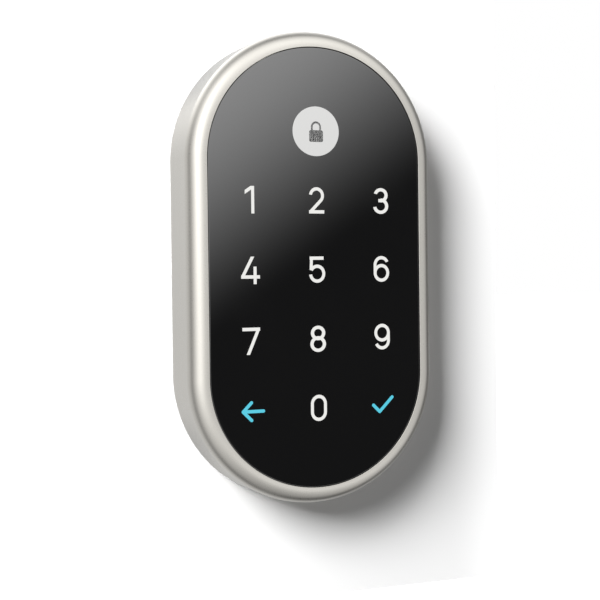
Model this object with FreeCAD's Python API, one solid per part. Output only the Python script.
"""Keyless touchscreen deadbolt lock: outside unit, tubular latch and inside unit, with the gear train.

Millimetres. The origin is on the axis of the door's cross bore, at the outside face of the door.
+Y runs into the door, +X towards the door's edge and +Z up. The door itself isn't modelled.
"""
import FreeCAD, Part
import math
import os

V = FreeCAD.Vector

# Door preparation that the lock fits
DOOR_T = 45.0
BORE_R = 27.0
EDGE_BORE_R = 12.7
BACKSET = 60.3
THROW = 25.4

# Clearances
GAP = 0.3
SLIP = 0.05
FIT = 0.1
GLASS_GAP = 0.15
RING_CLEAR = 0.4
TUBE_CLEAR = 0.3
OVERLAP = 0.5

# Outside unit: every outline is two half rounds joined by straights
GLASS_W = 56.0
GLASS_L = 109.1
GLASS_T = 1.8
GLASS_EDGE = 0.12
UNIT_D = 16.5
RIM_R = 5.0
RIM_PROUD = 0.25
SIDE_OUT = 4.6
DRAFT = 0.4
WALL = 2.0
LEDGE_W = 3.8
LEDGE_T = 1.5
BOND_T = 0.3
SKIRT_GAP = 0.4
SENSOR_T = 0.8
GUIDE_T = 1.6
BOARD_T = 1.6
LED_T = 0.7
PLATE_T = 1.5
GASKET_T = 1.7
GASKET_W = 3.0
RING_IN = 3.0
RING_WALL = 2.6
BADGE_R = 6.15
BADGE_T = 0.2
BADGE_UP = 33.8
KEY_PITCH_X = 17.5
KEY_PITCH_Z = 17.2
KEY_TOP = 16.7
KEY_WINDOW_R = 3.0
LED_POCKET_R = 1.8
LED_POCKET_DEPTH = 0.8
LED_W, LED_H = 1.6, 1.0
BOARD_INSET = 1.5
CHIP_T = 1.2
CHIPS = [(-9, 30, 9, 9), (9, 34, 7, 7), (-11, 14, 6, 5), (10, 12, 5, 8), (0, 43, 8, 4)]
SPEAKER_R = 7.5
SPEAKER_T = 4.4
SPEAKER_UP = 30.0
SPEAKER_MOUTH_R = 1.5
POST_X = 19.0
POST_R = 4.0
POST_L = 15.5
POST_THREAD_R = 2.1
POST_NECK_R = 2.8
TERMINAL_X = 6.0
TERMINAL_R = 1.8
TERMINAL_BLOCK_H = 4.5
TERMINAL_BLOCK_HALF_Y = 2.6
SCREW_R = 1.1
SCREW_HEAD_R = 2.2
SCREW_HEAD_T = 1.0
SCREW_L = 7.0
BOSS_R = 2.6
BOSS_RIB_T = 2.0
BOSS_FROM_END = 4.0
SLOT_L, SLOT_W, SLOT_DEPTH = 2.8, 0.5, 0.5

# Latch
LATCH_Y = DOOR_T / 2
CASE_HALF = 5.5
CASE_T = 1.2
CASE_LOW = 11.0
CASE_CLEAR = 0.8
TUBE_R = EDGE_BORE_R - TUBE_CLEAR
TUBE_WALL = 1.2
FACE_W = 25.4
FACE_H = 57.2
FACE_T = 2.5
FACE_CORNER = 6.0
FACE_SCREW_SPAN = 41.3
FACE_SCREW_R = 2.2
BOLT_HALF_Y = 7.5
BOLT_KEEP = 5.8
BOLT_CHAMFER = 1.0
TUBE_IN_BORE = 3.0
CASE_OVERHANG = 4.5
CASE_OVER_CRANK = 5.0
PIN_R = 2.6
PIN_FROM_TAIL = 2.0
PIN_FROM_NOSE = 3.0
PIN_END_PLAY = 0.2
TAIL_T = 2.0
TAIL_BAR = 4.0
TAIL_IN_BOLT = 9.0
TAIL_SIDE = 1.3
TAIL_OVER_SLOT = 1.2
CRANK_R = THROW / 2 / math.sin(math.radians(45))
CRANK_PIN_R = 1.5
CRANK_PLAY = 0.65
HUB_R = 6.0
HUB_BEARING_R = 5.0
ARM_W = 6.0
ARM_T = 2.0
RIVET_R = 1.2
RIVET_IN_BOLT = 5.0
RIVET_HALF = 5.2

# Spindle line
TAILPIECE_W = 6.0
TAILPIECE_T = 2.4
TAILPIECE_START = 14.0
SPINDLE_R = 5.0

# Inside unit
PLATE_IN_T = 2.0
INSIDE_W = 72.0
INSIDE_TOP = 106.0
INSIDE_BOTTOM = -40.0
INSIDE_D = 32.0
INSIDE_R = 14.0
INSIDE_EDGE_R = 4.0
INSIDE_WALL = 2.0
PLATE_INSET = 2.6
BAY_LOW = 24.0
BAY_INSET = 5.0
CELL_R = 7.1
CELL_L = 50.0
CELL_PITCH = 14.9
CELL_NUB_R = 2.6
CELL_NUB = 1.0
BOLT_M_R = 2.0
BOLT_HEAD_R = 4.2
BOLT_HEAD_T = 2.4
GEAR_PLATE_T = 1.0
GEAR_PLATE_GAP = 2.9
GEAR_ROOM = 9.3
AXLE_R = 1.0
SHAFT_R = 0.75
SHAFT_IN_CAN = 3.0
PILLAR_R = 2.2
PLATE_X0, PLATE_X1 = -24.5, 31.5
PLATE_Z0, PLATE_Z1 = -34.0, 19.0
PLATE_CORNER = 3.0
PILLARS = [(-20.5, -29.5), (27.5, -30.0), (-20.5, 15.0), (26.0, 14.5)]
CELL_CLEAR = 0.2
TRAY_BASE = 1.6
TRAY_WALL = 2.0
TRAY_SHARE = 0.72
CONTACT_T = 0.4
CONTACT_GROOVE = 2.5
CABLE_R = 1.2
CABLE_Z = -19.0
CABLE_X = -27.0
BEND_AT_PLATE = 4.0
BEND_UPWARDS = 9.0
SOCKET_L = 4.0
SOCKET_HALF_W, SOCKET_HALF_H = 4.5, 2.6
KNOB_R = 17.0
KNOB_T = 4.0
GRIP_L = 42.0
GRIP_W = 11.0
GRIP_H = 17.0

# Gear train: teeth and modules from the spindle to the motor
FINAL_TEETH, FINAL_M = 40, 0.8
SECOND_SMALL, SECOND_BIG, SECOND_M = 12, 36, 0.6
FIRST_SMALL, FIRST_BIG, FIRST_M = 12, 32, 0.5
MOTOR_TEETH = 10
SECOND_AIM = -20.0
FIRST_AIM = -100.0
MOTOR_AIM = 190.0
BACKLASH = 0.12
STUB = 0.78
UNDERCUT = 0.8
MOTOR_R = 6.0
MOTOR_FLAT = 5.0

# Worked-out places
STRAIGHT = GLASS_L - GLASS_W
PILL_Z = STRAIGHT / 2
GLASS_R = GLASS_W / 2
RECESS_R = GLASS_R + GLASS_GAP
OUT_R = GLASS_R + SIDE_OUT
FRONT_Y = -UNIT_D
BOND_Y = FRONT_Y + GLASS_T
LEDGE_Y = BOND_Y + BOND_T
LEDGE_BACK_Y = LEDGE_Y + LEDGE_T
WINDOW_R = RECESS_R - LEDGE_W
INNER_R = OUT_R - WALL + DRAFT
SENSOR_Y = BOND_Y
GUIDE_Y = SENSOR_Y + SENSOR_T + FIT
BOARD_Y = GUIDE_Y + GUIDE_T + LED_T
BOARD_BACK_Y = BOARD_Y + BOARD_T
BOARD_R = WINDOW_R - BOARD_INSET
BACK_PLATE_Y = -GASKET_T - PLATE_T
BACK_PLATE_R = INNER_R - GAP
BOSS_X = INNER_R - BOSS_R - 0.2
TERMINAL_Y = (BOARD_BACK_Y + BACK_PLATE_Y) / 2
TERMINAL_Z = 3.0 - INNER_R
INSIDE_FRONT = DOOR_T + INSIDE_D
REAR_PLATE_Y = DOOR_T + PLATE_IN_T + GEAR_PLATE_GAP
GEARS_Y = REAR_PLATE_Y + GEAR_PLATE_T
FRONT_PLATE_Y = GEARS_Y + GEAR_ROOM
TRAY_Y = DOOR_T + 7.0
CELL_Y = TRAY_Y + TRAY_BASE + CELL_R + GAP
BOARD_IN_Y = TRAY_Y - GAP - BOARD_T
LAYER_A = (GEARS_Y + 0.6, GEARS_Y + 3.6)
LAYER_B = (GEARS_Y + 4.6, GEARS_Y + 8.3)
BOLT_BACK = BACKSET - FACE_T - THROW - BOLT_KEEP
TAIL_END = BOLT_BACK + TAIL_IN_BOLT
RIVET_X = BOLT_BACK + RIVET_IN_BOLT
TAIL_Z = HUB_R + GAP
BAY_X = INSIDE_W / 2 - BAY_INSET
BAY_TOP = INSIDE_TOP - BAY_INSET - 6.0
INNER_FACE = INSIDE_FRONT - INSIDE_WALL
CELL_Z0 = BAY_LOW + 7.0
TRAY_DEPTH = 2 * CELL_R * TRAY_SHARE
CABLE_Y0 = BOARD_BACK_Y + SOCKET_L
CABLE_Y1 = DOOR_T + PLATE_IN_T + GEAR_PLATE_GAP / 2


def box(x0, x1, y0, y1, z0, z1):
    """A box between two corners."""
    return Part.makeBox(x1 - x0, y1 - y0, z1 - z0, V(x0, y0, z0))


def cyl_y(radius, y0, y1, x=0.0, z=0.0):
    """A cylinder along Y."""
    return Part.makeCylinder(radius, y1 - y0, V(x, y0, z), V(0, 1, 0))


def cyl_x(radius, x0, x1, y=0.0, z=0.0):
    """A cylinder along X."""
    return Part.makeCylinder(radius, x1 - x0, V(x0, y, z), V(1, 0, 0))


def cyl_z(radius, z0, z1, x=0.0, y=0.0):
    """A cylinder along Z."""
    return Part.makeCylinder(radius, z1 - z0, V(x, y, z0), V(0, 0, 1))


def fuse(shapes):
    """Several touching or overlapping shapes as one clean solid."""
    whole = shapes[0]
    for shape in shapes[1:]:
        whole = whole.fuse(shape)
    return whole.removeSplitter()


def cut(shape, tools):
    """A shape with each tool taken away."""
    for tool in tools:
        shape = shape.cut(tool)
    return shape


def pill(radius, y0, y1):
    """The outside unit's outline at one radius, as a slab: two half rounds joined by straights."""
    top, low = STRAIGHT, 0.0
    edges = [
        Part.makeLine(V(radius, y0, low), V(radius, y0, top)),
        Part.Arc(V(radius, y0, top), V(0, y0, top + radius), V(-radius, y0, top)).toShape(),
        Part.makeLine(V(-radius, y0, top), V(-radius, y0, low)),
        Part.Arc(V(-radius, y0, low), V(0, y0, low - radius), V(radius, y0, low)).toShape(),
    ]
    return Part.Face(Part.Wire(edges)).extrude(V(0, y1 - y0, 0))


def pill_ring(edges):
    """A closed section in the X-Y plane, carried round the outside unit's outline."""
    face = Part.Face(Part.Wire(edges))
    right = face.extrude(V(0, 0, STRAIGHT))
    left = right.copy()
    left.rotate(V(0, 0, STRAIGHT / 2), V(0, 1, 0), 180)
    low = face.revolve(V(0, 0, 0), V(0, 1, 0), 180)
    high = face.copy()
    high.translate(V(0, 0, STRAIGHT))
    high = high.revolve(V(0, 0, STRAIGHT), V(0, 1, 0), -180)
    return fuse([right, low, left, high])


def rounded_slab(half_w, z0, z1, corner, y0, y1):
    """A slab facing along Y, with its four upright corners rounded."""
    slab = box(-half_w, half_w, y0, y1, z0, z1)
    upright = [e for e in slab.Edges if abs(e.tangentAt(e.FirstParameter).y) > 0.99]
    return slab.makeFillet(corner, upright)


def group(solids):
    """Separate solids in one node."""
    return Part.makeCompound(solids)


def key_places():
    """The centre of each key, left to right and top to bottom, as X and Z."""
    places = []
    for row in range(4):
        for column in (-1, 0, 1):
            places.append((column * KEY_PITCH_X, PILL_Z + KEY_TOP - row * KEY_PITCH_Z))
    return places


# Outside unit

def exterior_housing():
    """The cast shell: drafted side wall, rounded front edge, rim and the ledge that carries the glass."""
    rim_y = FRONT_Y - RIM_PROUD
    centre_r = OUT_R - RIM_R
    centre_y = rim_y + RIM_R
    drop = math.sqrt(RIM_R ** 2 - (RECESS_R - centre_r) ** 2)
    mid = math.radians(45)
    p_back = V(OUT_R + DRAFT, -SKIRT_GAP, 0)
    p_side = V(OUT_R, centre_y, 0)
    p_mid = V(centre_r + RIM_R * math.cos(mid), centre_y - RIM_R * math.sin(mid), 0)
    p_rim = V(RECESS_R, centre_y - drop, 0)
    p_recess = V(RECESS_R, LEDGE_Y, 0)
    p_window = V(WINDOW_R, LEDGE_Y, 0)
    p_under = V(WINDOW_R, LEDGE_BACK_Y, 0)
    p_inner = V(INNER_R, LEDGE_BACK_Y, 0)
    p_skirt = V(INNER_R, -SKIRT_GAP, 0)
    points = [p_rim, p_recess, p_window, p_under, p_inner, p_skirt, p_back, p_side]
    edges = [Part.makeLine(a, b) for a, b in zip(points, points[1:])]
    edges.append(Part.Arc(p_side, p_mid, p_rim).toShape())
    shell = pill_ring(edges)
    bosses = []
    for x, z in boss_places():
        y0, y1 = LEDGE_BACK_Y - OVERLAP, BACK_PLATE_Y - FIT
        post = cyl_y(BOSS_R, y0, y1, x, z)
        reach = math.copysign(INNER_R + OVERLAP, x)
        rib = box(min(x, reach), max(x, reach), y0, y1, z - BOSS_RIB_T / 2, z + BOSS_RIB_T / 2)
        bosses.append(post.fuse(rib))
    shell = fuse([shell] + bosses)
    holes = [cyl_y(SCREW_R, BACK_PLATE_Y - SCREW_L, 0, x, z) for x, z in boss_places()]
    low = -(OUT_R + DRAFT)
    for x in (-TERMINAL_X, TERMINAL_X):
        holes.append(cyl_z(TERMINAL_R + FIT, low - 1, low + 6, x, TERMINAL_Y))
    return cut(shell, holes)


def boss_places():
    """Where the four screws hold the back plate to the housing."""
    return [(side * BOSS_X, z) for z in (BOSS_FROM_END, STRAIGHT - BOSS_FROM_END) for side in (-1, 1)]


def cover_glass():
    """The flush front glass, with a small polished edge."""
    glass = pill(GLASS_R, FRONT_Y, BOND_Y)
    front = [e for e in glass.Edges if abs(e.BoundBox.YMax - FRONT_Y) < 1e-6]
    return glass.makeFillet(GLASS_EDGE, front)


def glass_adhesive():
    """The bonding strip between glass and ledge."""
    return pill(GLASS_R - 0.2, BOND_Y, LEDGE_Y).cut(pill(WINDOW_R + 0.2, BOND_Y, LEDGE_Y))


def badge_disc():
    """The plain round badge on the glass."""
    return cyl_y(BADGE_R, FRONT_Y - BADGE_T, FRONT_Y, 0, PILL_Z + BADGE_UP)


def touch_sensor_board():
    """The thin touch-sensing board, with a window for each key."""
    board = pill(WINDOW_R - GAP, SENSOR_Y, SENSOR_Y + SENSOR_T)
    windows = [cyl_y(KEY_WINDOW_R, SENSOR_Y - 1, SENSOR_Y + 2, x, z) for x, z in key_places()]
    return cut(board, windows)


def light_guide():
    """The diffuser that spreads each key's light, with a pocket for each one."""
    guide = pill(WINDOW_R - 2 * GAP, GUIDE_Y, GUIDE_Y + GUIDE_T)
    pocket_y = GUIDE_Y + GUIDE_T - LED_POCKET_DEPTH
    pockets = [cyl_y(LED_POCKET_R, pocket_y, GUIDE_Y + GUIDE_T + 1, x, z) for x, z in key_places()]
    return cut(guide, pockets)


def key_leds():
    """One light-emitting diode behind each key."""
    half_w, half_h = LED_W / 2, LED_H / 2
    leds = []
    for x, z in key_places():
        leds.append(box(x - half_w, x + half_w, BOARD_Y - LED_T + FIT, BOARD_Y, z - half_h, z + half_h))
    return group(leds)


def exterior_board():
    """The main circuit board of the outside unit."""
    return pill(BOARD_R, BOARD_Y, BOARD_BACK_Y)


def exterior_chips():
    """The larger packages on the back of the board."""
    chips = []
    for x, z, w, h in CHIPS:
        chips.append(box(x - w / 2, x + w / 2, BOARD_BACK_Y, BOARD_BACK_Y + CHIP_T, z - h / 2, z + h / 2))
    return group(chips)


def speaker():
    """The sounder on the back of the board."""
    z = PILL_Z + SPEAKER_UP
    can = cyl_y(SPEAKER_R, BOARD_BACK_Y, BOARD_BACK_Y + SPEAKER_T, 0, z)
    mouth = cyl_y(SPEAKER_MOUTH_R, BOARD_BACK_Y + SPEAKER_T - 1.0, BOARD_BACK_Y + SPEAKER_T + 1, 0, z)
    return can.cut(mouth)


def terminal_holder():
    """The block inside the lower end that holds the emergency power contacts."""
    low = TERMINAL_Z
    half_x, half_y = TERMINAL_X + 4, TERMINAL_BLOCK_HALF_Y
    block = box(-half_x, half_x, TERMINAL_Y - half_y, TERMINAL_Y + half_y, low, low + TERMINAL_BLOCK_H)
    holes = [cyl_z(TERMINAL_R, low - 1, low + 6, x, TERMINAL_Y) for x in (-TERMINAL_X, TERMINAL_X)]
    return cut(block, holes)


def power_terminals():
    """The two round contacts at the lower end, for a battery held there when the lock is flat."""
    pins = []
    for x in (-TERMINAL_X, TERMINAL_X):
        wall_z = -math.sqrt((OUT_R + DRAFT) ** 2 - x ** 2)
        pins.append(cyl_z(TERMINAL_R, wall_z + 0.5, TERMINAL_Z + 4.0, x, TERMINAL_Y))
    return group(pins)


def exterior_back_plate():
    """The plate that closes the back of the outside unit and carries the posts."""
    plate = pill(BACK_PLATE_R, BACK_PLATE_Y, -GASKET_T)
    holes = [cyl_y(SCREW_R + FIT, BACK_PLATE_Y - 1, 0, x, z) for x, z in boss_places()]
    holes += [countersink(FIT, x, z) for x, z in boss_places()]
    holes.append(cyl_y(CABLE_R + 2.4, BACK_PLATE_Y - 1, 0, 0, CABLE_Z))
    holes += [cyl_y(POST_NECK_R + SLIP, BACK_PLATE_Y - 1, 0, x, 0) for x in (-POST_X, POST_X)]
    return cut(plate, holes)


def countersink(clear, x, z):
    """The cone under a flush screw head in the back plate."""
    low, high = SCREW_R + clear, SCREW_HEAD_R + clear
    return Part.makeCone(low, high, SCREW_HEAD_T, V(x, -GASKET_T - SCREW_HEAD_T, z), V(0, 1, 0))


def back_plate_screws():
    """Four flush screws through the back plate into the housing's bosses."""
    screws = []
    for x, z in boss_places():
        shank = cyl_y(SCREW_R, BACK_PLATE_Y - SCREW_L + 0.4, -GASKET_T, x, z)
        y0 = -GASKET_T - SLOT_DEPTH
        slot = box(x - SLOT_L / 2, x + SLOT_L / 2, y0, 0, z - SLOT_W / 2, z + SLOT_W / 2)
        cross = box(x - SLOT_W / 2, x + SLOT_W / 2, y0, 0, z - SLOT_L / 2, z + SLOT_L / 2)
        screws.append(cut(fuse([shank, countersink(0, x, z)]), [slot, cross]))
    return group(screws)


def weather_gasket():
    """The rubber ring between the back plate and the door."""
    return pill(BACK_PLATE_R - 0.2, -GASKET_T, 0).cut(pill(BACK_PLATE_R - GASKET_W, -GASKET_T, 0))


def locating_ring():
    """The ring that centres the outside unit in the cross bore."""
    outer = BORE_R - RING_CLEAR
    return cyl_y(outer, -GASKET_T, RING_IN).cut(cyl_y(outer - RING_WALL, -GASKET_T - 1, RING_IN + 1))


def mounting_posts():
    """Two riveted posts, threaded inside for the through bolts."""
    posts = []
    for x in (-POST_X, POST_X):
        body = cyl_y(POST_R, -GASKET_T, POST_L, x, 0)
        neck = cyl_y(POST_NECK_R, BACK_PLATE_Y, -GASKET_T, x, 0)
        hole = cyl_y(POST_THREAD_R, 2.0, POST_L + 1, x, 0)
        posts.append(fuse([body, neck]).cut(hole))
    return group(posts)


def exterior_connector():
    """The cable's socket on the outside unit's board."""
    half_w, half_h = SOCKET_HALF_W, SOCKET_HALF_H
    return box(-half_w, half_w, BOARD_BACK_Y, CABLE_Y0, CABLE_Z - half_h, CABLE_Z + half_h)


# Latch, in the door's edge bore

def latch_case():
    """Two side plates round the hub, joined to the tube that guides the bolt."""
    tube_start = BORE_R - TUBE_IN_BORE
    tube_end = BACKSET - FACE_T
    tube = cyl_x(TUBE_R, tube_start, tube_end, LATCH_Y)
    tube = tube.cut(cyl_x(TUBE_R - TUBE_WALL, tube_start - 1, tube_end + 1, LATCH_Y))
    plates = []
    x0, x1 = -POST_X - CASE_OVERHANG, tube_start + TUBE_IN_BORE
    room = cyl_y(BORE_R - CASE_CLEAR, 0, DOOR_T)
    joint = box(BORE_R - 5, x1, 0, DOOR_T, -CASE_LOW, CASE_LOW)
    for y0 in (LATCH_Y - CASE_HALF, LATCH_Y + CASE_HALF - CASE_T):
        plate = box(x0, x1, y0, y0 + CASE_T, -CASE_LOW, CRANK_R + CASE_OVER_CRANK)
        plates.append(plate.common(room.fuse(joint)))
    web = box(x0, x1, LATCH_Y - CASE_HALF, LATCH_Y + CASE_HALF, -CASE_LOW, -CASE_LOW + CASE_T).common(room)
    bore = cyl_x(TUBE_R - TUBE_WALL, 0, tube_end + 1, LATCH_Y)
    core = bore.common(box(tube_start, tube_end, 0, DOOR_T, -TUBE_R, TUBE_R))
    case = fuse(plates + [web, tube])
    holes = [cyl_y(HUB_BEARING_R + SLIP, 0, DOOR_T)]
    holes += [cyl_y(BOLT_M_R + 0.6, 0, DOOR_T, x, 0) for x in (-POST_X, POST_X)]
    return cut(case, holes + [core])


def latch_faceplate():
    """The plate let into the door's edge, with its bolt opening and two free screw holes."""
    x0, x1 = BACKSET - FACE_T, BACKSET
    plate = box(x0, x1, LATCH_Y - FACE_W / 2, LATCH_Y + FACE_W / 2, -FACE_H / 2, FACE_H / 2)
    ends = [e for e in plate.Edges if abs(e.tangentAt(e.FirstParameter).x) > 0.99]
    plate = plate.makeFillet(FACE_CORNER, ends)
    holes = [bolt_section(GAP, x0 - 1, x1 + 1)]
    for z in (-FACE_SCREW_SPAN / 2, FACE_SCREW_SPAN / 2):
        holes.append(cyl_x(FACE_SCREW_R, x0 - 1, x1 + 1, LATCH_Y, z))
    return cut(plate, holes)


def bolt_section(clear, x0, x1):
    """The bolt's round section with two flats, grown by a clearance."""
    round_bar = cyl_x(TUBE_R - TUBE_WALL - GAP + clear, x0, x1, LATCH_Y)
    half = BOLT_HALF_Y + clear
    return round_bar.common(box(x0, x1, LATCH_Y - half, LATCH_Y + half, -TUBE_R, TUBE_R))


def tail_box(x0, x1, clear):
    """The bar that pulls the bolt, between the hub's top and the crank slot."""
    y0, y1 = LATCH_Y - TAIL_T / 2 - clear, LATCH_Y + TAIL_T / 2 + clear
    return box(x0, x1, y0, y1, TAIL_Z - clear, TAIL_Z + TAIL_BAR + clear)


def deadbolt():
    """The bolt, with a chamfered nose, a slot for its tail and a bore for the hard pin."""
    bolt = bolt_section(0, BOLT_BACK, BACKSET)
    nose = [e for e in bolt.Edges if abs(e.BoundBox.XMin - BACKSET) < 1e-6]
    bolt = bolt.makeChamfer(BOLT_CHAMFER, nose)
    slot = tail_box(BOLT_BACK - 1, TAIL_END, 0)
    bore = cyl_x(PIN_R, TAIL_END + PIN_FROM_TAIL, BACKSET - PIN_FROM_NOSE, LATCH_Y)
    rivet = cyl_y(RIVET_R, 0, DOOR_T, RIVET_X, TAIL_Z + TAIL_BAR / 2)
    return cut(bolt, [slot, bore, rivet])


def anti_saw_pin():
    """The hardened pin that turns under a saw, loose in the bolt."""
    x0 = TAIL_END + PIN_FROM_TAIL + PIN_END_PLAY
    return cyl_x(PIN_R - SLIP, x0, BACKSET - PIN_FROM_NOSE - PIN_END_PLAY, LATCH_Y)


def bolt_tail():
    """The bar from the bolt back over the hub, with the upright slot that the crank pin works in."""
    rest_x = -THROW / 2
    half_slot = CRANK_PIN_R + CRANK_PLAY
    outer = half_slot + TAIL_SIDE
    y0, y1 = LATCH_Y - TAIL_T / 2, LATCH_Y + TAIL_T / 2
    bar = tail_box(rest_x - outer, TAIL_END, 0)
    slot_low = THROW / 2 - CRANK_PIN_R - 0.4
    slot_high = CRANK_R + CRANK_PIN_R + 0.5
    plate = box(rest_x - outer, rest_x + outer, y0, y1, TAIL_Z, slot_high + TAIL_OVER_SLOT)
    corners = [e for e in plate.Edges if abs(e.tangentAt(e.FirstParameter).y) > 0.99]
    top = [e for e in corners if e.BoundBox.ZMin > slot_high]
    plate = plate.makeChamfer(TAIL_OVER_SLOT, top)
    slot = box(rest_x - half_slot, rest_x + half_slot, y0 - 1, y1 + 1, slot_low, slot_high)
    rivet = cyl_y(RIVET_R, 0, DOOR_T, RIVET_X, TAIL_Z + TAIL_BAR / 2)
    return cut(fuse([bar, plate]), [slot, rivet])


def tail_rivet():
    """The rivet that holds the tail in the bolt."""
    return cyl_y(RIVET_R, LATCH_Y - RIVET_HALF, LATCH_Y + RIVET_HALF, RIVET_X, TAIL_Z + TAIL_BAR / 2)


def latch_hub():
    """The hub that the tailpiece turns, with the crank arm and pin that drive the bolt."""
    inner0 = LATCH_Y - CASE_HALF + CASE_T + FIT
    inner1 = LATCH_Y + CASE_HALF - CASE_T - FIT
    hub = cyl_y(HUB_R, inner0, inner1)
    bearing = cyl_y(HUB_BEARING_R, LATCH_Y - CASE_HALF, LATCH_Y + CASE_HALF)
    arm = box(-ARM_W / 2, ARM_W / 2, inner0, inner0 + ARM_T, 0, CRANK_R)
    tip = cyl_y(ARM_W / 2, inner0, inner0 + ARM_T, 0, CRANK_R)
    pin = cyl_y(CRANK_PIN_R, inner0, LATCH_Y + TAIL_T / 2 + 1.0, 0, CRANK_R)
    hub = fuse([hub, bearing, arm, tip, pin])
    hub.rotate(V(0, 0, 0), V(0, 1, 0), -45)
    half_w, half_t = TAILPIECE_W / 2 + FIT, TAILPIECE_T / 2 + FIT
    return hub.cut(box(-half_w, half_w, 0, DOOR_T, -half_t, half_t))


# Gears

def involute(base_r, radius):
    """The involute's polar angle at a radius."""
    ratio = max(radius / base_r, 1.0)
    t = math.sqrt(ratio ** 2 - 1)
    return t - math.atan(t)


def gear(teeth, module, y0, y1, x, z, aim, bore_r):
    """A spur gear along Y, with one tooth centred on an aim angle from +X towards +Z, in degrees."""
    pitch_r = teeth * module / 2
    base_r = pitch_r * math.cos(math.radians(20))
    root_r = pitch_r - 1.25 * module
    tip_r = pitch_r + STUB * module
    half_at_pitch = math.pi / (2 * teeth) - BACKLASH / (2 * pitch_r)
    start_r = max(root_r, base_r)
    radii = [start_r, (start_r + pitch_r) / 2, pitch_r, (pitch_r + tip_r) / 2, tip_r]
    offset = half_at_pitch + involute(base_r, pitch_r)
    flank = [(r, offset - involute(base_r, r)) for r in radii]
    if root_r < start_r:
        flank.insert(0, (root_r, flank[0][1] * UNDERCUT))
    points = []
    for index in range(teeth):
        centre = math.radians(aim) + 2 * math.pi * index / teeth
        for r, half in flank:
            points.append((r, centre - half))
        for r, half in reversed(flank):
            points.append((r, centre + half))
    corners = [V(x + r * math.cos(a), y0, z + r * math.sin(a)) for r, a in points]
    body = Part.Face(Part.makePolygon(corners + [corners[0]])).extrude(V(0, y1 - y0, 0))
    return body.cut(cyl_y(bore_r, y0 - 1, y1 + 1, x, z))


def step(start, distance, aim):
    """A point at a distance and angle from another."""
    angle = math.radians(aim)
    return start[0] + distance * math.cos(angle), start[1] + distance * math.sin(angle)


def mesh_aim(aim, teeth):
    """The tooth angle of a driven gear whose gap faces back along an aim."""
    return aim + 180 + 180.0 / teeth


SECOND = step((0, 0), (FINAL_TEETH + SECOND_SMALL) * FINAL_M / 2, SECOND_AIM)
FIRST = step(SECOND, (SECOND_BIG + FIRST_SMALL) * SECOND_M / 2, FIRST_AIM)
MOTOR = step(FIRST, (FIRST_BIG + MOTOR_TEETH) * FIRST_M / 2, MOTOR_AIM)


def final_gear():
    """The large gear on the spindle."""
    wheel = gear(FINAL_TEETH, FINAL_M, *LAYER_B, 0, 0, SECOND_AIM, SPINDLE_R)
    hub = cyl_y(SPINDLE_R + 2.5, LAYER_B[0] - 1.0, LAYER_B[0])
    hub = hub.cut(cyl_y(SPINDLE_R, 0, LAYER_B[1]))
    windows = []
    for index in range(6):
        x, z = step((0, 0), 11.0, index * 60 + 10)
        windows.append(cyl_y(2.4, 0, 100, x, z))
    return cut(fuse([wheel, hub]), windows)


def second_gear():
    """The compound gear next to the spindle: a small gear that drives the final gear and a large one."""
    x, z = SECOND
    small = gear(SECOND_SMALL, FINAL_M, LAYER_A[1], LAYER_B[1] - 0.3, x, z,
                 mesh_aim(SECOND_AIM, SECOND_SMALL), AXLE_R + SLIP)
    big = gear(SECOND_BIG, SECOND_M, *LAYER_A, x, z, FIRST_AIM, AXLE_R + SLIP)
    return fuse([small, big])


def first_gear():
    """The compound gear next to the motor."""
    x, z = FIRST
    small = gear(FIRST_SMALL, SECOND_M, LAYER_A[0] + 0.2, LAYER_B[0] + 0.5, x, z,
                 mesh_aim(FIRST_AIM, FIRST_SMALL), AXLE_R + SLIP)
    big = gear(FIRST_BIG, FIRST_M, LAYER_B[0] + 0.5, LAYER_B[1] - 0.4, x, z, MOTOR_AIM, AXLE_R + SLIP)
    return fuse([small, big])


def motor_pinion():
    """The brass pinion pressed on the motor's shaft."""
    x, z = MOTOR
    aim = mesh_aim(MOTOR_AIM, MOTOR_TEETH)
    return gear(MOTOR_TEETH, FIRST_M, LAYER_B[0] + GAP, LAYER_B[1], x, z, aim, SHAFT_R)


def motor_shaft():
    """The motor's shaft, with its armature end inside the can."""
    x, z = MOTOR
    return cyl_y(SHAFT_R, LAYER_B[0], FRONT_PLATE_Y + GEAR_PLATE_T + SHAFT_IN_CAN, x, z)


def motor():
    """The motor's can, flat on two sides, seated on the front gear plate."""
    x, z = MOTOR
    y0 = FRONT_PLATE_Y + GEAR_PLATE_T
    y1 = INSIDE_FRONT - INSIDE_WALL - 0.4
    flats = box(x - MOTOR_R, x + MOTOR_R, y0, y1, z - MOTOR_FLAT, z + MOTOR_FLAT)
    can = cyl_y(MOTOR_R, y0, y1 - 1.5, x, z).common(flats)
    cap = cyl_y(2.2, y1 - 1.5, y1, x, z)
    return fuse([can, cap]).cut(cyl_y(SHAFT_R + FIT, y0 - 1, y0 + SHAFT_IN_CAN + GAP, x, z))


def gear_plate(y0, holes):
    """One of the two gear plates, with its pillar screw holes."""
    plate = box(PLATE_X0, PLATE_X1, y0, y0 + GEAR_PLATE_T, PLATE_Z0, PLATE_Z1)
    ends = [e for e in plate.Edges if abs(e.tangentAt(e.FirstParameter).y) > 0.99]
    plate = plate.makeFillet(PLATE_CORNER, ends)
    tools = [cyl_y(r, y0 - 1, y0 + 2, x, z) for r, x, z in holes]
    return cut(plate, tools)


def rear_gear_plate():
    """The gear plate nearer the door."""
    pins = [(AXLE_R, *SECOND), (AXLE_R, *FIRST)]
    return gear_plate(REAR_PLATE_Y, [(SPINDLE_R + SLIP, 0, 0)] + pins)


def front_gear_plate():
    """The gear plate nearer the room, which carries the motor."""
    pins = [(AXLE_R, *SECOND), (AXLE_R, *FIRST), (1.6, *MOTOR)]
    return gear_plate(FRONT_PLATE_Y, [(SPINDLE_R + SLIP, 0, 0)] + pins)


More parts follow.
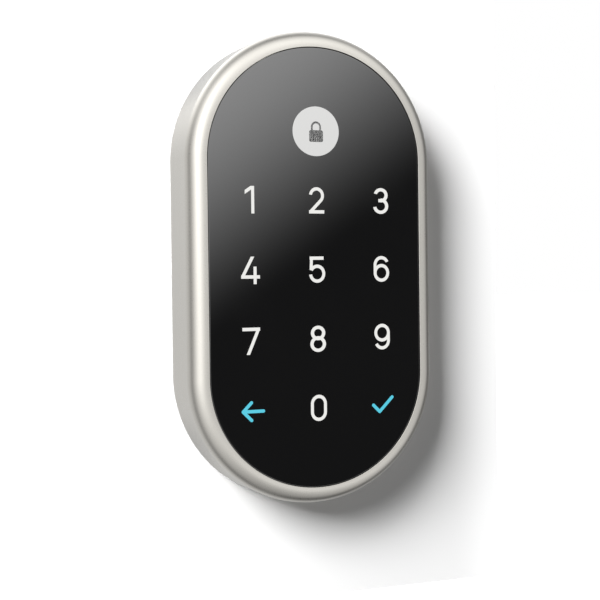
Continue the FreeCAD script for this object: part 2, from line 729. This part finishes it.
def gear_pins():
    """The two fixed axles of the compound gears."""
    y1 = FRONT_PLATE_Y + GEAR_PLATE_T
    return group([cyl_y(AXLE_R, REAR_PLATE_Y, y1, x, z) for x, z in (SECOND, FIRST)])


def gearbox_pillars():
    """The four pillars that hold the gear plates apart."""
    return group([cyl_y(PILLAR_R, GEARS_Y, FRONT_PLATE_Y, x, z) for x, z in PILLARS])


# Spindle line

def tailpiece():
    """The flat bar from the spindle through the latch's hub."""
    half_w, half_t = TAILPIECE_W / 2, TAILPIECE_T / 2
    return box(-half_w, half_w, TAILPIECE_START, GEARS_Y + 1.0, -half_t, half_t)


def spindle():
    """The round spindle through the gearbox, socketed for the tailpiece and the thumbturn's stub."""
    rod = cyl_y(SPINDLE_R, REAR_PLATE_Y - 0.6, INSIDE_FRONT + 0.5)
    half_w, half_t = TAILPIECE_W / 2, TAILPIECE_T / 2
    socket = box(-half_w, half_w, 0, GEARS_Y + 1.0, -half_t, half_t)
    front = box(-2.2, 2.2, INSIDE_FRONT - 6.0, INSIDE_FRONT + 1, -2.2, 2.2)
    return cut(rod, [socket, front])


def spindle_bush():
    """The nylon bush in the housing that the spindle turns in."""
    y1 = INSIDE_FRONT - INSIDE_WALL
    sleeve = cyl_y(SPINDLE_R + 2.0, y1 - 3.0, INSIDE_FRONT)
    flange = cyl_y(SPINDLE_R + 4.0, y1 - 1.0, y1)
    return fuse([sleeve, flange]).cut(cyl_y(SPINDLE_R + SLIP, 0, 100))


def retaining_clip():
    """The open clip in front of the gearbox that keeps the spindle from pulling out."""
    y0 = FRONT_PLATE_Y + GEAR_PLATE_T + 0.2
    ring = cyl_y(SPINDLE_R + 2.0, y0, y0 + 0.8).cut(cyl_y(SPINDLE_R + SLIP, y0 - 1, y0 + 2))
    return ring.cut(box(-3.0, 3.0, y0 - 1, y0 + 2, -9, 0))


def thumbturn():
    """The knob: a round base, a rounded upright grip and a square stub into the spindle."""
    y0 = INSIDE_FRONT + GAP
    base = cyl_y(KNOB_R, y0, y0 + KNOB_T)
    outer = [e for e in base.Edges if abs(e.BoundBox.YMin - (y0 + KNOB_T)) < 1e-6]
    base = base.makeFillet(1.2, outer)
    grip = rounded_slab(GRIP_W / 2, -GRIP_L / 2, GRIP_L / 2, GRIP_W / 2 - 0.2, y0 + KNOB_T - 1.5, y0 + GRIP_H)
    rims = [e for e in grip.Edges if abs(e.BoundBox.YMin - (y0 + GRIP_H)) < 1e-6]
    grip = grip.makeFillet(2.4, rims)
    hollow = cyl_y(SPINDLE_R + 0.3, y0 - 1, INSIDE_FRONT + 0.8)
    stub = box(-2.15, 2.15, INSIDE_FRONT - 5.5, y0 + 1.5, -2.15, 2.15)
    return fuse([fuse([base, grip]).cut(hollow), stub])


# Inside unit

def interior_plate():
    """The steel plate against the door's inside face, which the through bolts pull tight."""
    half = INSIDE_W / 2 - PLATE_INSET
    plate = rounded_slab(half, INSIDE_BOTTOM + PLATE_INSET, INSIDE_TOP - PLATE_INSET, INSIDE_R - PLATE_INSET,
                         DOOR_T, DOOR_T + PLATE_IN_T)
    holes = [cyl_y(BOLT_M_R + 0.4, 0, 100, x, 0) for x in (-POST_X, POST_X)]
    holes.append(cyl_y(7.5, 0, 100))
    holes.append(cyl_y(CABLE_R + 4.4, 0, 100, -1.0, CABLE_Z))
    holes += [cyl_y(SCREW_R, 0, 100, x, z) for x, z in housing_screw_places()]
    return cut(plate, holes)


def through_bolts():
    """The two bolts from the inside plate through the latch into the outside unit's posts."""
    bolts = []
    y0 = DOOR_T + PLATE_IN_T
    for x in (-POST_X, POST_X):
        shank = cyl_y(BOLT_M_R, 4.0, y0, x, 0)
        head = cyl_y(BOLT_HEAD_R, y0, y0 + BOLT_HEAD_T, x, 0)
        rim = [e for e in head.Edges if abs(e.BoundBox.YMin - y0 - BOLT_HEAD_T) < 1e-6]
        head = head.makeFillet(0.6, rim)
        slot = box(x - 0.5, x + 0.5, y0 + 1.2, y0 + 4, -2.6, 2.6)
        cross = box(x - 2.6, x + 2.6, y0 + 1.2, y0 + 4, -0.5, 0.5)
        bolts.append(cut(fuse([shank, head]), [slot, cross]))
    return group(bolts)


def housing_screw_places():
    """The three screws that hold the inside housing to its plate, as X and Z."""
    return [(-INSIDE_W / 2 + 7.0, INSIDE_TOP - 7.0), (INSIDE_W / 2 - 7.0, INSIDE_TOP - 7.0),
            (-INSIDE_W / 2 + 7.5, INSIDE_BOTTOM + 8.5)]


def interior_housing():
    """The inside cover: a deep tray shape open to the door, with the battery opening and the spindle hole."""
    half = INSIDE_W / 2
    y0 = DOOR_T + GAP
    outer = rounded_slab(half, INSIDE_BOTTOM, INSIDE_TOP, INSIDE_R, y0, INSIDE_FRONT)
    rim = [e for e in outer.Edges if abs(e.BoundBox.YMin - INSIDE_FRONT) < 1e-6]
    outer = outer.makeFillet(INSIDE_EDGE_R, rim)
    room = rounded_slab(half - INSIDE_WALL, INSIDE_BOTTOM + INSIDE_WALL, INSIDE_TOP - INSIDE_WALL,
                        INSIDE_R - INSIDE_WALL, y0 - 1, INNER_FACE)
    shell = outer.cut(room)
    bosses = []
    for x, z in housing_screw_places():
        boss = cyl_y(3.4, DOOR_T + PLATE_IN_T, INNER_FACE + OVERLAP, x, z)
        sign = math.copysign(1, x)
        x0, x1 = sorted((x, x + 6.0 * sign))
        fin = box(x0, x1, DOOR_T + PLATE_IN_T, INNER_FACE, z - 0.8, z + 0.8)
        bosses.append(boss.fuse(fin.common(outer)))
    shell = fuse([shell] + bosses)
    holes = [box(-BAY_X, BAY_X, INNER_FACE - 1, INSIDE_FRONT + 1, BAY_LOW, BAY_TOP)]
    holes.append(cyl_y(SPINDLE_R + 2.0, INNER_FACE - 4, INSIDE_FRONT + 1))
    holes += [cyl_y(SCREW_R, 0, DOOR_T + PLATE_IN_T + 9, x, z) for x, z in housing_screw_places()]
    return cut(shell, holes)


def housing_screws():
    """The screws that hold the inside housing to its plate."""
    y0 = DOOR_T + PLATE_IN_T
    return group([cyl_y(SCREW_R, DOOR_T + 0.3, y0 + 8.0, x, z) for x, z in housing_screw_places()])


def battery_cover():
    """The lid over the batteries, which pulls straight off, with a thumb groove and two clips."""
    lid = box(-BAY_X + GAP, BAY_X - GAP, INNER_FACE, INSIDE_FRONT, BAY_LOW + GAP, BAY_TOP - GAP)
    groove = cyl_x(6.0, -9, 9, INSIDE_FRONT + 4.9, BAY_LOW + 8)
    clips = []
    for x in (-18.0, 18.0):
        clips.append(box(x - 4, x + 4, INNER_FACE - 4.0, INNER_FACE, BAY_TOP - GAP - 1.4, BAY_TOP - GAP))
        clips.append(box(x - 4, x + 4, INNER_FACE - 4.0, INNER_FACE, BAY_LOW + GAP, BAY_LOW + GAP + 1.4))
    return fuse([lid.cut(groove)] + clips)


def cell_places():
    """The X of each upright battery cell."""
    return [(index - 1.5) * CELL_PITCH for index in range(4)]


def battery_tray():
    """The open tray that holds four cells, with a rounded bed for each and a wall at each end."""
    half = 2 * CELL_PITCH + 1.0
    z0, z1 = CELL_Z0 - 5.0, CELL_Z0 + CELL_L + CELL_NUB + 5.0
    tray = box(-half, half, TRAY_Y, TRAY_Y + TRAY_DEPTH, z0, z1)
    beds = []
    for x in cell_places():
        bed_r = CELL_R + CELL_CLEAR
        beds.append(cyl_z(bed_r, z0 + TRAY_WALL, z1 - TRAY_WALL, x, CELL_Y))
        beds.append(box(x - bed_r, x + bed_r, CELL_Y, INSIDE_FRONT, z0 + TRAY_WALL, z1 - TRAY_WALL))
    for end in (z0 + TRAY_WALL, z1 - TRAY_WALL - CONTACT_GROOVE):
        beds.append(box(1.0 - half, half - 1.0, CELL_Y - 4.5, INSIDE_FRONT, end, end + CONTACT_GROOVE))
    return cut(tray, beds)


def battery_cells():
    """Four upright dry cells, turned about in turn, each with its raised contact."""
    cells = []
    for index, x in enumerate(cell_places()):
        body = cyl_z(CELL_R, CELL_Z0, CELL_Z0 + CELL_L, x, CELL_Y)
        rims = [e for e in body.Edges if e.Closed and e.Length > 10]
        body = body.makeFillet(0.5, rims)
        if index % 2:
            nub = cyl_z(CELL_NUB_R, CELL_Z0 + CELL_L - 0.2, CELL_Z0 + CELL_L + CELL_NUB, x, CELL_Y)
        else:
            nub = cyl_z(CELL_NUB_R, CELL_Z0 - CELL_NUB, CELL_Z0 + 0.2, x, CELL_Y)
        cells.append(fuse([body, nub]))
    return group(cells)


def battery_contacts():
    """The sprung strips at both ends of the cells: bridges for pairs and single ends."""
    low_z = CELL_Z0 - 3.0
    high_z = CELL_Z0 + CELL_L + CELL_NUB + 3.0
    xs = cell_places()
    strips = []
    y0, y1 = CELL_Y - 4.0, CELL_Y + 2.0
    for z, side, spans in ((low_z, 1, [(0, 1), (2, 3)]), (high_z, -1, [(0, 0), (1, 2), (3, 3)])):
        for first, last in spans:
            low, high = sorted((z, z + CONTACT_T * side))
            back = box(xs[first] - 4, xs[last] + 4, y0, y1, low, high)
            tabs = []
            for index in range(first, last + 1):
                lift = 1.5 * side if index % 2 == (side < 0) else 2.5 * side
                low, high = sorted((z, z + lift))
                tabs.append(box(xs[index] - 2, xs[index] + 2, y0 + 1, y1 - 1, low, high))
            strips.append(fuse([back] + tabs))
    return group(strips)


def interior_board():
    """The control board between the tray and the plate."""
    return box(-28.0, 28.0, BOARD_IN_Y, BOARD_IN_Y + BOARD_T, BAY_LOW, BAY_TOP)


def interior_connector():
    """The cable's socket on the control board."""
    y0 = DOOR_T + PLATE_IN_T + 0.3
    return box(CABLE_X - 1.0, CABLE_X + 7.0, y0, BOARD_IN_Y, BAY_LOW + 1.0, BAY_LOW + 8.0)


def position_switch():
    """The switch that reads the final gear's place."""
    y0 = GEARS_Y
    body = box(-24.0, -18.0, y0, y0 + 4.2, -6.4, 6.4)
    lever = box(-18.0, -17.4, y0 + 1, y0 + 3.2, -5.4, 5.4)
    return fuse([body, lever])


def data_cable():
    """The lead from the outside unit's socket under the latch, through the plate and up to the board."""
    a, b = BEND_AT_PLATE, BEND_UPWARDS
    low, x1, y1 = CABLE_Z, CABLE_X, CABLE_Y1
    c45 = math.cos(math.radians(45))
    p0, p1 = V(0, CABLE_Y0, low), V(0, y1 - a, low)
    m1 = V(-a + a * c45, y1 - a + a * c45, low)
    p2, p3 = V(-a, y1, low), V(x1 + b, y1, low)
    m2 = V(x1 + b - b * c45, y1, low + b - b * c45)
    p4, p5 = V(x1, y1, low + b), V(x1, y1, BAY_LOW + 1.0)
    edges = [Part.makeLine(p0, p1), Part.Arc(p1, m1, p2).toShape(), Part.makeLine(p2, p3),
             Part.Arc(p3, m2, p4).toShape(), Part.makeLine(p4, p5)]
    path = Part.Wire(edges)
    start = Part.Wire(Part.makeCircle(CABLE_R, p0, V(0, 1, 0)))
    return path.makePipeShell([start], True, False)


NODES = {
    "exterior_housing": exterior_housing,
    "cover_glass": cover_glass,
    "glass_adhesive": glass_adhesive,
    "badge_disc": badge_disc,
    "touch_sensor_board": touch_sensor_board,
    "light_guide": light_guide,
    "key_leds": key_leds,
    "exterior_board": exterior_board,
    "exterior_chips": exterior_chips,
    "speaker": speaker,
    "terminal_holder": terminal_holder,
    "power_terminals": power_terminals,
    "exterior_back_plate": exterior_back_plate,
    "back_plate_screws": back_plate_screws,
    "weather_gasket": weather_gasket,
    "locating_ring": locating_ring,
    "mounting_posts": mounting_posts,
    "exterior_connector": exterior_connector,
    "latch_case": latch_case,
    "latch_faceplate": latch_faceplate,
    "deadbolt": deadbolt,
    "anti_saw_pin": anti_saw_pin,
    "bolt_tail": bolt_tail,
    "tail_rivet": tail_rivet,
    "latch_hub": latch_hub,
    "final_gear": final_gear,
    "second_gear": second_gear,
    "first_gear": first_gear,
    "motor_pinion": motor_pinion,
    "motor_shaft": motor_shaft,
    "motor": motor,
    "rear_gear_plate": rear_gear_plate,
    "front_gear_plate": front_gear_plate,
    "gear_pins": gear_pins,
    "gearbox_pillars": gearbox_pillars,
    "tailpiece": tailpiece,
    "spindle": spindle,
    "spindle_bush": spindle_bush,
    "retaining_clip": retaining_clip,
    "thumbturn": thumbturn,
    "interior_plate": interior_plate,
    "through_bolts": through_bolts,
    "interior_housing": interior_housing,
    "housing_screws": housing_screws,
    "battery_cover": battery_cover,
    "battery_tray": battery_tray,
    "battery_cells": battery_cells,
    "battery_contacts": battery_contacts,
    "interior_board": interior_board,
    "interior_connector": interior_connector,
    "position_switch": position_switch,
    "data_cable": data_cable,
}


def main():
    """Write one file for each piece."""
    os.makedirs("parts", exist_ok=True)
    for name, make in NODES.items():
        make().exportStep("parts/" + name + ".step")


main()
